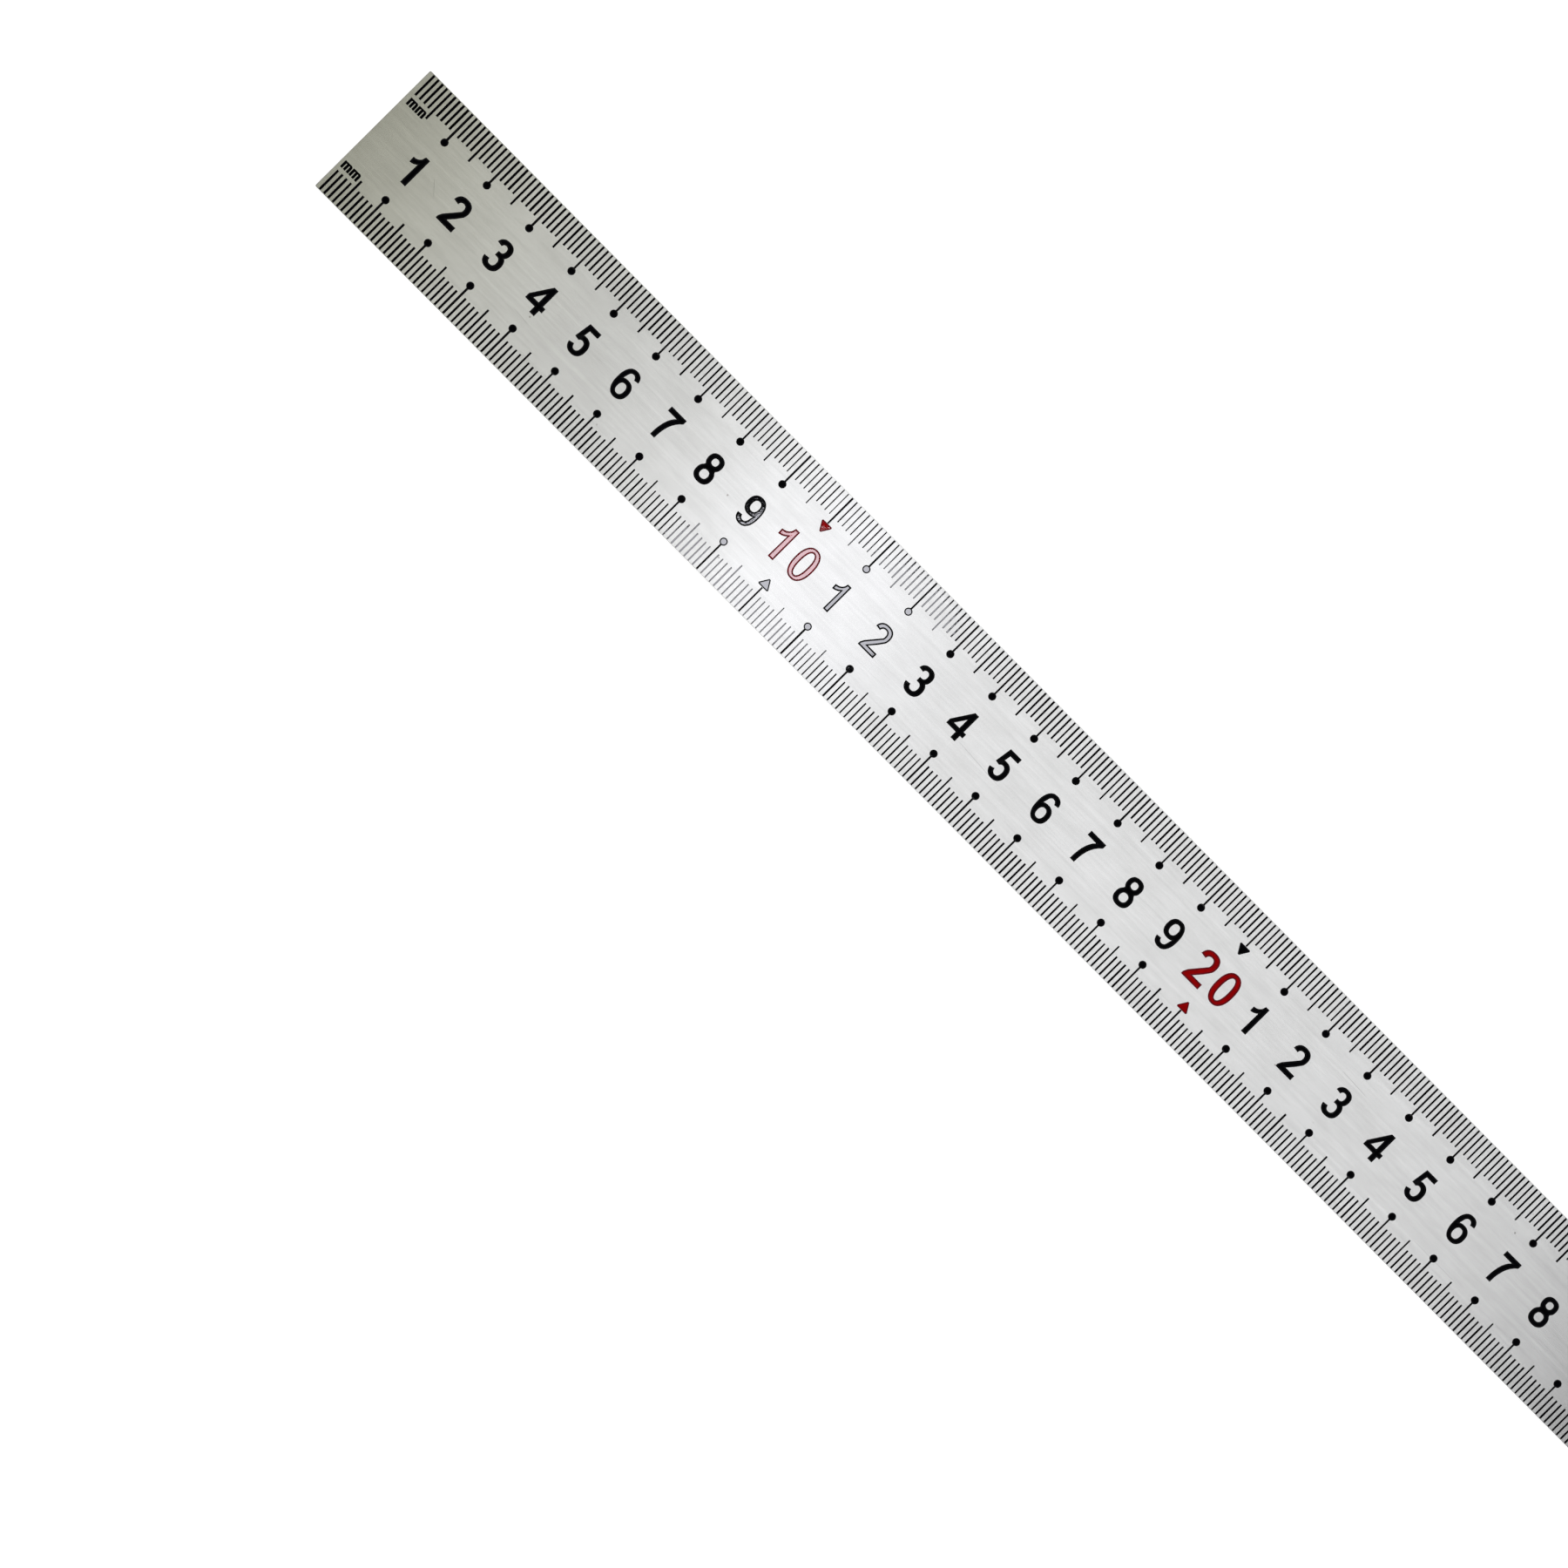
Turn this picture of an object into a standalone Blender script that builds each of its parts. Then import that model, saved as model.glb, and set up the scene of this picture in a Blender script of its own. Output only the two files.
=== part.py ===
"""A 30 cm and 12 inch steel ruler, etched and filled with enamel on both faces.

The blade lies flat on its inch face, with its metric face up. Its length runs along X
with the square zero end at -X, and the origin is at the centre of its lower face.
Each numeral, decade mark and scale is a separate body of enamel in an etched pocket.
"""

from math import asin, ceil, copysign, cos, degrees, radians, sin

import bmesh
import bpy
from mathutils import Vector

MM = 0.001
INCH = 25.4 * MM

BLADE_LENGTH = 327.0 * MM
BLADE_WIDTH = 27.2 * MM
BLADE_THICKNESS = 0.9 * MM
EDGE_BREAK = 0.1 * MM
ZERO_CORNER_RADIUS = 0.3 * MM
TAIL_STEPS = 32
HANG_HOLE_RADIUS = 3.0 * MM
HANG_HOLE_FROM_TAIL = 8.5 * MM
HANG_HOLE_SIDES = 24

POCKET_DEPTH = 0.10 * MM
FILL_CLEARANCE = 0.015 * MM
CUTTER_OVERSHOOT = 0.2 * MM

METRIC_NUMERAL_HEIGHT = 5.8 * MM
DECADE_NUMERAL_HEIGHT = 6.5 * MM
INCH_NUMERAL_HEIGHT = 5.2 * MM
LAST_CENTIMETRE = 30
LAST_INCH = 12
METRIC_NUMERAL_SHIFT = -0.3 * MM
DIGIT_PITCH = 0.80
DIGIT_SIDE_SPACE = 0.09

# Where lines end is measured from the blade's nearest long edge.
LINE_START = 0.2 * MM
HAIRLINE = 0.12 * MM
METRIC_LINE_WIDTH = 0.42 * MM
HALF_LINE_END = 6.12 * MM
DECADE_LINE_END = 5.85 * MM
DOT_CENTRE = 6.73 * MM
DOT_RADIUS = 0.67 * MM
DECADE_MARK_BASE = 5.97 * MM
DECADE_MARK_TIP = 7.87 * MM
DECADE_MARK_WIDTH = 2.05 * MM

INCH_LINE_WIDTH = 0.28 * MM
DECIMAL_RAILS = (7.0 * MM,)
DECIMAL_ENDS = (9.8 * MM, 8.8 * MM)
FRACTION_RAILS = (4.17 * MM, 6.1 * MM)
FRACTION_ENDS = (9.86 * MM, 8.0 * MM)

ARC_STEP = 30.0
DOT_STEP = 51.0
ROUNDNESS = 0.86

STEEL = ((0.52, 0.52, 0.49), 0.34, 1.0)
BLACK_ENAMEL = ((0.006, 0.006, 0.010), 0.18, 0.0)
RED_ENAMEL = ((0.16, 0.002, 0.004), 0.2, 0.0)


def arc(center, radii, start, end, roundness=ROUNDNESS, step=ARC_STEP):
    """Points along an elliptic arc between two angles in degrees, squarer as roundness falls."""
    count = max(1, ceil(abs(end - start) / step))
    points = []
    for index in range(count + 1):
        angle = radians(start + (end - start) * index / count)
        across = cos(angle)
        up = sin(angle)
        x = center[0] + radii[0] * copysign(abs(across) ** roundness, across)
        y = center[1] + radii[1] * copysign(abs(up) ** roundness, up)
        points.append((x, y))
    return points


def oval(center, radii):
    """A closed squarish oval, anticlockwise."""
    return arc(center, radii, 0, 360)[:-1]


# Each numeral is one unit high and stands on y = 0. Its first loop is its outer edge,
# anticlockwise, and its other loops are its holes, clockwise.


def zero():
    return [oval((0.305, 0.5), (0.305, 0.5)), oval((0.305, 0.5), (0.133, 0.365))[::-1]]


def one():
    stem = [(0.24, 0.0), (0.415, 0.0), (0.415, 1.0), (0.275, 1.0)]
    flag_top = arc((-0.02, 1.06), (0.30, 0.30), -30, -86)
    flag_bottom = arc((-0.05, 1.0), (0.404, 0.404), -83, -44.5)
    return [stem + flag_top + flag_bottom]


def two():
    base = [(0.0, 0.0), (0.605, 0.0), (0.605, 0.165), (0.25, 0.165), (0.43, 0.375)]
    outer = arc((0.30, 0.715), (0.295, 0.285), -38, 175)
    inner = arc((0.30, 0.70), (0.125, 0.145), 172, -28)
    return [base + outer + inner + [(0.06, 0.20), (0.0, 0.08)]]


def three():
    outer = arc((0.295, 0.30), (0.30, 0.30), 188, 405) + arc((0.285, 0.74), (0.275, 0.26), -45, 172)
    inner_top = arc((0.285, 0.73), (0.108, 0.13), 168, -75)
    inner_bottom = arc((0.295, 0.30), (0.13, 0.155), 88, -170)
    return [outer + inner_top + [(0.225, 0.60), (0.225, 0.455)] + inner_bottom]


def four():
    bar_low = 0.215
    bar_high = 0.37
    stem_left = 0.385
    stem_right = 0.56
    outer = [(stem_left, 0.0), (stem_right, 0.0), (stem_right, bar_low), (0.66, bar_low), (0.66, bar_high),
             (stem_right, bar_high), (stem_right, 1.0), (0.41, 1.0), (0.0, bar_high), (0.0, bar_low),
             (stem_left, bar_low)]
    return [outer, [(stem_left, bar_high), (0.165, bar_high), (stem_left, 0.70)]]


def five():
    inner = arc((0.285, 0.32), (0.122, 0.175), 135, -168)
    outer = arc((0.285, 0.325), (0.29, 0.325), 193, 466)
    top = [(0.215, 0.645), (0.245, 0.84), (0.55, 0.84), (0.55, 1.0)]
    return [[(0.11, 1.0), (0.03, 0.46), (0.175, 0.435)] + inner + outer + top]


def six():
    crown = arc((0.315, 0.735), (0.262, 0.265), 5, 90)
    back = arc((0.315, 0.5), (0.315, 0.5), 90, 270)[1:]
    bowl = arc((0.315, 0.315), (0.292, 0.315), 270, 480)[1:]
    throat = arc((0.31, 0.67), (0.125, 0.185), 165, 22)
    return [crown + back + bowl + throat, oval((0.315, 0.315), (0.132, 0.178))[::-1]]


def seven():
    left = arc((0.66, 0.0), (0.525, 0.97), 121, 180)
    right = arc((0.76, 0.0), (0.44, 0.98), 180, 112)
    return [[(0.0, 1.0), (0.0, 0.835)] + left + right + [(0.62, 0.94), (0.62, 1.0)]]


def eight():
    outer = arc((0.295, 0.28), (0.295, 0.28), 132, 408) + arc((0.295, 0.745), (0.265, 0.255), -48, 228)
    return [outer, oval((0.295, 0.29), (0.135, 0.14))[::-1], oval((0.295, 0.75), (0.108, 0.112))[::-1]]


def nine():
    width = 0.607
    return [[(width - x, 1.0 - y) for x, y in loop] for loop in six()]


DIGITS = (zero, one, two, three, four, five, six, seven, eight, nine)


def moved(loops, scale, x, y):
    return [[(x + scale * px, y + scale * py) for px, py in loop] for loop in loops]


def grown(loop, margin):
    """The loop with each side moved outward by the margin, or into the hole on a clockwise loop."""
    points = []
    for index, corner in enumerate(loop):
        here = Vector(corner)
        before = (here - Vector(loop[index - 1])).normalized()
        after = (Vector(loop[(index + 1) % len(loop)]) - here).normalized()
        normal = Vector((before.y + after.y, -before.x - after.x)).normalized()
        reach = max(0.5, normal.dot(Vector((before.y, -before.x))))
        points.append(tuple(here + normal * (margin / reach)))
    return points


def add_prism(mesh, loops, z_low, z_high):
    """Adds a closed prism over the outline to a bmesh."""
    edges = []
    for loop in loops:
        corners = [mesh.verts.new((x, y, z_low)) for x, y in loop]
        for index, corner in enumerate(corners):
            edges.append(mesh.edges.new((corners[index - 1], corner)))
    made = bmesh.ops.triangle_fill(mesh, edges=edges, use_beauty=True, normal=(0, 0, 1))
    base = [item for item in made["geom"] if isinstance(item, bmesh.types.BMFace)]
    raised = bmesh.ops.extrude_face_region(mesh, geom=base, use_keep_orig=True)
    for item in raised["geom"]:
        if isinstance(item, bmesh.types.BMVert):
            item.co.z = z_high


def finish(name, colour, roughness, metallic):
    material = bpy.data.materials.new(name + "_finish")
    material.use_nodes = True
    shader = material.node_tree.nodes["Principled BSDF"]
    shader.inputs["Base Color"].default_value = (*colour, 1.0)
    shader.inputs["Roughness"].default_value = roughness
    shader.inputs["Metallic"].default_value = metallic
    return material


def add_object(name, mesh, look=None):
    """Makes an object from a bmesh whose faces are turned outward."""
    bmesh.ops.recalc_face_normals(mesh, faces=mesh.faces)
    data = bpy.data.meshes.new(name)
    mesh.to_mesh(data)
    mesh.free()
    if look:
        data.materials.append(finish(name, *look))
    made = bpy.data.objects.new(name, data)
    bpy.context.collection.objects.link(made)
    return made


class Face:
    """One face of the blade, where outlines are drawn from the zero end and the centreline."""

    def __init__(self, cutter, top):
        self.cutter = cutter
        self.top = top

    def placed(self, loops):
        side = 1 if self.top else -1
        return [[(x - BLADE_LENGTH / 2, side * y) for x, y in loop] for loop in loops]

    def depths(self, low, high):
        """Heights of two depths below this face."""
        if self.top:
            return BLADE_THICKNESS - high, BLADE_THICKNESS - low
        return low, high

    def add_fill(self, name, loops, look):
        """A body of enamel, and the pocket that holds it."""
        pocket = [grown(loop, FILL_CLEARANCE) for loop in loops]
        add_prism(self.cutter, self.placed(pocket), *self.depths(-CUTTER_OVERSHOOT, POCKET_DEPTH))
        fill = bmesh.new()
        add_prism(fill, self.placed(loops), *self.depths(FILL_CLEARANCE, POCKET_DEPTH - FILL_CLEARANCE))
        return add_object(name, fill, look)


def add_numeral(face, name, number, line, height, look):
    """A number whose digits are centred on the line at this distance from the zero end."""
    digits = [int(character) for character in str(number)]
    left = line - height * DIGIT_PITCH * len(digits) / 2
    endings = ("_tens", "_units") if len(digits) == 2 else ("",)
    for place, digit in enumerate(digits):
        x = left + height * (DIGIT_PITCH * place + DIGIT_SIDE_SPACE)
        face.add_fill(name + endings[place], moved(DIGITS[digit](), height, x, -height / 2), look)


def decade_mark(line, side):
    """A triangle past the end of the line, which points to the centreline."""
    base = BLADE_WIDTH / 2 - DECADE_MARK_BASE
    tip = BLADE_WIDTH / 2 - DECADE_MARK_TIP
    half = DECADE_MARK_WIDTH / 2
    corners = [(line - half, side * base), (line + half, side * base), (line, side * tip)]
    return [corners[::-side]]


def metric_line(line, kind):
    """The end of one line, from its left side to its right side."""
    half = METRIC_LINE_WIDTH / 2
    edge = BLADE_WIDTH / 2
    if kind == "centimetre":
        cut = degrees(asin(half / DOT_RADIUS))
        radii = (DOT_RADIUS, DOT_RADIUS)
        return arc((line, edge - DOT_CENTRE), radii, 90 + cut, 450 - cut, roundness=1.0, step=DOT_STEP)
    end = edge - (HALF_LINE_END if kind == "half" else DECADE_LINE_END)
    return [(line - half, end), (line + half, end)]


def comb(side):
    """Lines at each 5 mm along one edge, joined by a hairline where they start."""
    outer = BLADE_WIDTH / 2 - LINE_START
    inner = outer - HAIRLINE
    half = METRIC_LINE_WIDTH / 2
    count = LAST_CENTIMETRE * 2
    outline = [(count * 5 * MM + half, outer), (5 * MM - half, outer)]
    for index in range(1, count + 1):
        line = index * 5 * MM
        kind = "half" if index % 2 else "centimetre" if index % 20 else "decade"
        if index > 1:
            outline.append((line - half, inner))
        outline += metric_line(line, kind)
        if index < count:
            outline.append((line + half, inner))
    return [[(x, side * y) for x, y in outline][::side]]


def ladder(side, rails, ends):
    """Lines at each half inch from one edge, which cross one rail or two along the blade."""
    half = INCH_LINE_WIDTH / 2
    edge = BLADE_WIDTH / 2
    start = edge - LINE_START
    high = edge - rails[0]
    low = edge - rails[-1]
    outward = [(INCH_LINE_WIDTH, high + half)]
    inward = [(INCH_LINE_WIDTH, low - half)]
    openings = []
    for index in range(1, LAST_INCH * 2 + 1):
        line = index * INCH / 2
        end = edge - ends[index % 2]
        outward += [(line - half, high + half), (line - half, start), (line + half, start)]
        inward += [(line - half, low - half), (line - half, end), (line + half, end)]
        if index < LAST_INCH * 2:
            outward.append((line + half, high + half))
            inward.append((line + half, low - half))
        left = line - INCH / 2 + half if index > 1 else 2 * INCH_LINE_WIDTH
        right = line - half
        openings.append([(left, low + half), (left, high - half), (right, high - half), (right, low + half)])
    loops = [inward + outward[::-1]]
    if high > low:
        loops += openings
    return [[(x, side * y) for x, y in loop][::side] for loop in loops]


def add_metric_face(face):
    face.add_fill("metric_scale_upper", comb(1), BLACK_ENAMEL)
    face.add_fill("metric_scale_lower", comb(-1), BLACK_ENAMEL)
    for centimetre in range(1, LAST_CENTIMETRE + 1):
        line = centimetre * 10 * MM
        name = f"metric_numeral_{centimetre:02d}"
        if centimetre % 10:
            digit = centimetre % 10
            add_numeral(face, name, digit, line + METRIC_NUMERAL_SHIFT, METRIC_NUMERAL_HEIGHT, BLACK_ENAMEL)
            continue
        add_numeral(face, name, centimetre, line, DECADE_NUMERAL_HEIGHT, RED_ENAMEL)
        red_above = centimetre == 10
        upper_look = RED_ENAMEL if red_above else BLACK_ENAMEL
        lower_look = BLACK_ENAMEL if red_above else RED_ENAMEL
        face.add_fill(f"decade_mark_{centimetre}_upper", decade_mark(line, 1), upper_look)
        face.add_fill(f"decade_mark_{centimetre}_lower", decade_mark(line, -1), lower_look)


def add_inch_face(face):
    face.add_fill("inch_scale_decimal", ladder(1, DECIMAL_RAILS, DECIMAL_ENDS), BLACK_ENAMEL)
    face.add_fill("inch_scale_fraction", ladder(-1, FRACTION_RAILS, FRACTION_ENDS), BLACK_ENAMEL)
    for inch in range(1, LAST_INCH + 1):
        add_numeral(face, f"inch_numeral_{inch:02d}", inch, inch * INCH, INCH_NUMERAL_HEIGHT, BLACK_ENAMEL)


def blade_outline():
    """A strip with a square zero end and a half-round tail."""
    half = BLADE_WIDTH / 2
    zero_end = -BLADE_LENGTH / 2
    tail_centre = BLADE_LENGTH / 2 - half
    outline = []
    for index in range(TAIL_STEPS + 1):
        angle = radians(-90 + 180 * index / TAIL_STEPS)
        outline.append((tail_centre + half * cos(angle), half * sin(angle)))
    cut = ZERO_CORNER_RADIUS
    outline += [(zero_end + cut, half), (zero_end, half - cut)]
    outline += [(zero_end, cut - half), (zero_end + cut, -half)]
    return outline


def add_hang_hole(cutter):
    centre = BLADE_LENGTH / 2 - HANG_HOLE_FROM_TAIL
    rim = []
    for index in range(HANG_HOLE_SIDES):
        angle = radians(360 * index / HANG_HOLE_SIDES)
        rim.append((centre + HANG_HOLE_RADIUS * cos(angle), HANG_HOLE_RADIUS * sin(angle)))
    add_prism(cutter, [rim], -CUTTER_OVERSHOOT, BLADE_THICKNESS + CUTTER_OVERSHOOT)


def add_blade(cutter_mesh):
    """The steel strip, with its long edges broken and its hole and pockets cut."""
    strip = bmesh.new()
    add_prism(strip, [blade_outline()], 0.0, BLADE_THICKNESS)
    bmesh.ops.recalc_face_normals(strip, faces=strip.faces)
    flat = [edge for edge in strip.edges if edge.verts[0].co.z == edge.verts[1].co.z]
    rim = [edge for edge in flat if any(abs(face.normal.z) < 0.5 for face in edge.link_faces)]
    bmesh.ops.bevel(strip, geom=rim, offset=EDGE_BREAK, segments=1, affect="EDGES")
    blade = add_object("blade", strip, STEEL)
    cutter = add_object("pocket_cutter", cutter_mesh)
    cutter.hide_render = True
    cutter.display_type = "WIRE"
    cut = blade.modifiers.new("pockets", "BOOLEAN")
    cut.operation = "DIFFERENCE"
    cut.solver = "EXACT"
    cut.object = cutter
    return blade


def main():
    for old in list(bpy.data.objects):
        bpy.data.objects.remove(old, do_unlink=True)
    cutter = bmesh.new()
    add_metric_face(Face(cutter, top=True))
    add_inch_face(Face(cutter, top=False))
    add_hang_hole(cutter)
    add_blade(cutter)


main()
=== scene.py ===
"""The looks of the steel ruler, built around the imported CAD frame.

Each face is one plan of outlines. Where the plan is filled, the blade gets a shallow etched
pocket with a body of glossy enamel in it, and everywhere else it is brushed steel. Outlines
are drawn in mm, from the zero end along the ruler and from its centreline up the face.
"""

from math import asin, ceil, copysign, cos, degrees, pi, radians, sin
from random import Random

import bpy
import numpy as np
from mathutils import Euler, Matrix, Vector
from mathutils.geometry import delaunay_2d_cdt

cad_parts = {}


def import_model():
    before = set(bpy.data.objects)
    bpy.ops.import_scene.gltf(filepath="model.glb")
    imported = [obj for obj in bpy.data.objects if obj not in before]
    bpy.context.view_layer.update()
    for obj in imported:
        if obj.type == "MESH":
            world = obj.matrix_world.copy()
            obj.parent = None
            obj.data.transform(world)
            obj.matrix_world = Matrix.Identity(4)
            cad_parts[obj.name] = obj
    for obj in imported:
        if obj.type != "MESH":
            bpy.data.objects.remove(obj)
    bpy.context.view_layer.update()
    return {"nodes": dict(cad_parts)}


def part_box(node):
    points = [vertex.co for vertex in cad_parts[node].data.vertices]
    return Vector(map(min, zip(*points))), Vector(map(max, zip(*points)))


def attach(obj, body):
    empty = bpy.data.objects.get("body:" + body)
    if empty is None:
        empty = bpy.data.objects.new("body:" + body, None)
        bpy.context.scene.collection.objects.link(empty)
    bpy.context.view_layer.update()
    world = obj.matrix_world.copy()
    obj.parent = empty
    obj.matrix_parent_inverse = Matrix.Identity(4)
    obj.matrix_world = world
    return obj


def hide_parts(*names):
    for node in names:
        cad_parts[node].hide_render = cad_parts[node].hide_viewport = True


MM = 0.001
INCH = 25.4

# The blade's edges.
EDGE_ROUND = 0.09
ROUND_STEPS = 4
ZERO_CORNER_RADIUS = 0.3
CORNER_STEPS = 5
TAIL_STEPS = 90
HANG_HOLE_RADIUS = 3.0
HANG_HOLE_FROM_TAIL = 8.5
HANG_HOLE_BREAK = 0.12
HANG_HOLE_SIDES = 72

# Pockets, and the enamel in them. Its surface slopes down over a matte rim to a glossy middle.
POCKET_DEPTH = 0.09
FILL_DROP = 0.006
FILL_FLOOR_GAP = 0.01
RIM_STEEPNESS = 0.115
RIM_SHARE = 0.9
WIDE_RIM = 0.28
DOT_RIM = 0.22
LINE_RIM = 0.08

# How finely arcs are cut, in degrees, and how round the numerals' ovals are.
ARC_STEP = 9.0
DOT_STEP = 15.0
ROUNDNESS = 0.86

# How a face is cut into triangles: only inside its outline, with corners this close taken as one.
INSIDE_ONLY = 1
SAME_CORNER = 1e-5

# How far past a mark's bounds its own points are looked for.
NEAR_OUTLINE = 0.01

# The metric face. Where a line ends is measured from the blade's nearest long edge.
PRINT_SEED = 4
LAST_MILLIMETRE = 300
LINE_START = 0.13
LINE_LENGTH_SPREAD = 0.07
LINE_WIDTH_SPREAD = 0.03
LINE_TAPER = 0.05
MM_LINE_END = 4.65
LINE_WIDTH = 0.35
ZERO_END_EXTRA = 0.12
ZERO_END_REACH = 60.0
THINNEST_LINE = 102.0
THINNING = 0.13
THINNING_REACH = 45.0
HALF_LINE_END = 6.12
DOT_CENTRE = 6.73
DOT_RADIUS = 0.7
DECADE_MARK_BASE = 5.97
DECADE_MARK_TIP = 8.05
DECADE_MARK_WIDTH = 2.55
DECADE_MARK_CORNER = 0.28
DECADE_LINE_GAP = 0.03
NUMERAL_HEIGHT = 5.8
NUMERAL_SHIFT = -0.33
ONE_SHIFT = -0.58
DECADE_NUMERAL_HEIGHT = 6.5
TENS_SHIFT = -2.5
TENS_ONE_SHIFT = -3.35
UNITS_SHIFT = 2.72
UNITS_AFTER_ONE_SHIFT = 2.15
GLYPH_GROWTH = 0.012
UPPER_SCALE_SHIFT = 0.12
UNIT_LABEL_STARTS = (("upper", 0.95), ("lower", 0.65))
UNIT_LABEL_HEIGHT = 1.42
UNIT_LABEL_FOOT = 6.75
UNIT_LABEL_GAP = 0.13

# The metric print isn't quite parallel to the blade.
PRINT_DRIFT_START = 0.07
PRINT_DRIFT_PER_MM = 0.00104

# The inch face.
INCH_LINE_WIDTH = 0.27
FINE_LINE_WIDTH = 0.2
RAIL_WIDTH = 0.24
LAST_INCH = 12
FINE_END = 3.0
FINEST_START = 2.5
DECIMAL_RAIL_FINE = 4.47
DECIMAL_RAIL = 7.0
DECIMAL_FINEST_END = 2.7
DECIMAL_HALF_END = 8.8
DECIMAL_INCH_END = 9.8
FRACTION_RAIL_FINE = 2.7
FRACTION_RAIL_INNER = 4.17
FRACTION_RAIL = 6.1
FRACTION_FINEST_END = 2.0
FRACTION_QUARTER_END = 7.1
FRACTION_HALF_END = 8.0
FRACTION_INCH_END = 9.86
INCH_NUMERAL_HEIGHT = 5.2
INCH_DIGIT_PITCH = 0.80
DIVISION_LABEL_HEIGHT = 1.95
DIVISION_LABEL_PITCH = 1.5
DIVISION_LABELS = (("20", 1, 1.6, 10.6), ("50", 1, 64.75, 10.6), ("10", 1, 77.9, 10.6),
                   ("32", -1, 2.35, 9.7), ("64", -1, 65.2, 9.7), ("16", -1, 78.2, 9.7))
INCH_LABEL_HEIGHT = 2.5
INCH_LABEL_FOOT = -1.05
INCH_LABEL_STARTS = (7.9, 9.75, 12.25, 15.0)

# Fine scratches in the metric face, from and to.
SCRATCHES = (((141.0, -2.6), (152.5, -3.3)), ((13.0, 1.6), (15.5, -1.2)), ((37.5, -4.4), (41.5, -4.7)),
             ((226.0, 4.2), (233.0, 3.9)))
SCRATCH_CORE = 0.02
SCRATCH_EDGE = 0.06
SCRATCH_SHARE = 0.5
SCRATCH_FADE_START = 0.6

# The steel. Its patterns are in cells per metre along, across and through the blade.
STEEL = (0.57, 0.571, 0.57, 1.0)
PALE_STEEL = (0.62, 0.622, 0.624, 1.0)
SCRATCH_COLOUR = (0.3, 0.3, 0.3, 1.0)
CLOUD_CELLS = (140.0, 240.0, 240.0)
FINE_GRAIN_CELLS = (200.0, 2600.0, 2600.0)
FINE_GRAIN_SHARE = 0.4
LONG_GRAIN_CELLS = (40.0, 1300.0, 1300.0)
LONG_GRAIN_SHARE = 0.6
GRAIN_SHADES = (0.94, 1.06)
GRAIN_ROUGHNESS = (0.268, 0.272)
GRAIN_BUMP = 0.0001
STREAK_CELLS = (22.0, 2600.0, 2600.0)
STREAK_LEVELS = (0.76, 0.8)
STREAK_SHADE = 0.86
SPECK_CELLS = (130.0, 130.0, 130.0)
SPECK_RADII = (0.012, 0.03)
SPECK_SHARE = 0.55
SPECK_COLOUR = (0.12, 0.10, 0.08, 1.0)

# The two enamels, each from one colour to the other, and as they are on their pockets' walls and matte
# rims. The red there is darker, partly thinner enamel and partly painted shade along the pocket's edge.
BLACK = ((0.0004, 0.0004, 0.0008, 1.0), (0.0012, 0.0012, 0.0024, 1.0))
RED = ((0.4, 0.001, 0.002, 1.0), (0.31, 0.0005, 0.001, 1.0))
SHADED_WALL_RED = ((0.17, 0.002, 0.008, 1.0), (0.12, 0.001, 0.005, 1.0))
ENAMEL_CELLS = (900.0, 900.0, 900.0)
RIPPLE_CELLS = (1800.0, 1800.0, 1800.0)
GLOSSY = (0.015, 0.03)
MATTE = (0.5, 0.65)
GLOSSY_SPECULAR = 1.0
MATTE_SPECULAR = 0.1
ENAMEL_BUMP = 0.0015

# The floor, which glows a little so that it stays white.
FLOOR_HALF_WIDTH = 4.0
FLOOR_WHITE = 0.86
FLOOR_GLOW = 0.55

# The camera, 100 mm on full frame, looks almost straight down.
LENS = 100.0
SENSOR = 36.0
CAMERA_DISTANCE = 730.0
CAMERA_TILT = -2.025
CAMERA_ROLL = 45.165
AIM = (-37.6, -28.46)

# The small oval lamps beside the camera, which show in the enamel near the 10: centre, size, turn.
LAMPS = (((-54.0, 21.5), (105.0, 40.0), 32.0), ((-79.2, 28.0), (7.6, 8.0), 0.0))
LAMP_RADIANCE = 7.0
LAMP_COLOUR = (0.92, 0.92, 1.0)

# The overhead panels: brightness and share of blue against the X part of the direction.
PANEL_STOPS = ((-0.18, 0.03, 0.30), (-0.135, 0.25, 0.56), (-0.105, 0.66, 0.87), (-0.085, 0.67, 0.96),
               (-0.058, 0.48, 0.97), (-0.05, 0.12, 0.97), (-0.04, 0.99, 0.98), (-0.01, 0.96, 1.0),
               (0.02, 0.69, 1.0), (0.06, 0.90, 1.0), (0.12, 0.80, 1.0), (0.205, 0.75, 1.0),
               (0.245, 0.83, 1.0), (0.264, 0.10, 1.0))
PANEL_RADIANCE = 1.76

# The dark strip overhead, against the Y part of the direction.
STRIP_RADIANCE = 0.014
STRIP_MIDDLE = 0.02
STRIP_HALF_WIDTHS = (0.042, 0.062)

# The light from all round, against the Z part of the direction, and where the panels take over.
HORIZON_RADIANCE = 0.66
RAISED_RADIANCE = 1.3
HORIZON_HEIGHTS = (0.05, 0.5)
PANEL_HEIGHTS = (0.50, 0.75)


# Outlines ---------------------------------------------------------------------------------


def arc(center, radii, start, end, roundness=ROUNDNESS, step=ARC_STEP):
    """Points along an elliptic arc between two angles in degrees, squarer as roundness falls."""
    count = max(1, ceil(abs(end - start) / step))
    points = []
    for index in range(count + 1):
        angle = radians(start + (end - start) * index / count)
        across = cos(angle)
        up = sin(angle)
        x = center[0] + radii[0] * copysign(abs(across) ** roundness, across)
        y = center[1] + radii[1] * copysign(abs(up) ** roundness, up)
        points.append((x, y))
    return points


def oval(center, radii):
    """A closed squarish oval, anticlockwise."""
    return arc(center, radii, 0, 360)[:-1]


def box(left, bottom, right, top):
    return [(left, bottom), (right, bottom), (right, top), (left, top)]


# Each numeral and letter is one unit high and stands on y = 0. Its first loop is its outer
# edge, anticlockwise, and its other loops are its holes, clockwise.


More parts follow.
